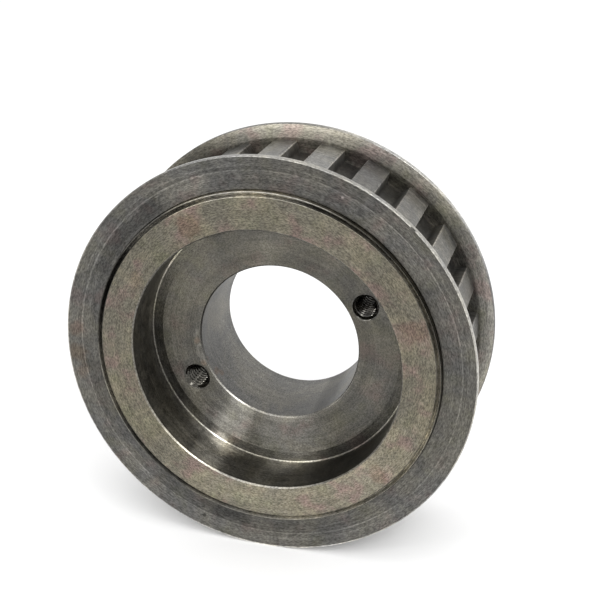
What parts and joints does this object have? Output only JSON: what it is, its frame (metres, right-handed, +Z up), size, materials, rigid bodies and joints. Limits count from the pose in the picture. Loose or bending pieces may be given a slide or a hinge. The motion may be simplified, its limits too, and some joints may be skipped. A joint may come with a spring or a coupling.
{
  "type": "timing belt pulley",
  "caption": "Toothed pulley for a timing belt, with flared sheet flanges at both ends, a recess in the front and a tapered through bore with tapped holes for a clamping bushing.",
  "frame": {"origin": "on the axle line, half way along the body's length", "axes": "+Y runs along the axle line from the recessed front end to the plain rear end; +Z up; +X to the right seen from the front"},
  "size_m": [0.1036, 0.0338, 0.1036],
  "materials": {
    "body_steel": "turned and hobbed steel, satin, with a tan oil film",
    "flange_sheet": "pressed sheet steel, dark satin"
  },
  "bodies": {
    "root": {"toothed_body": "body_steel", "front_flange": "flange_sheet", "rear_flange": "flange_sheet"}
  },
  "joints": []
}
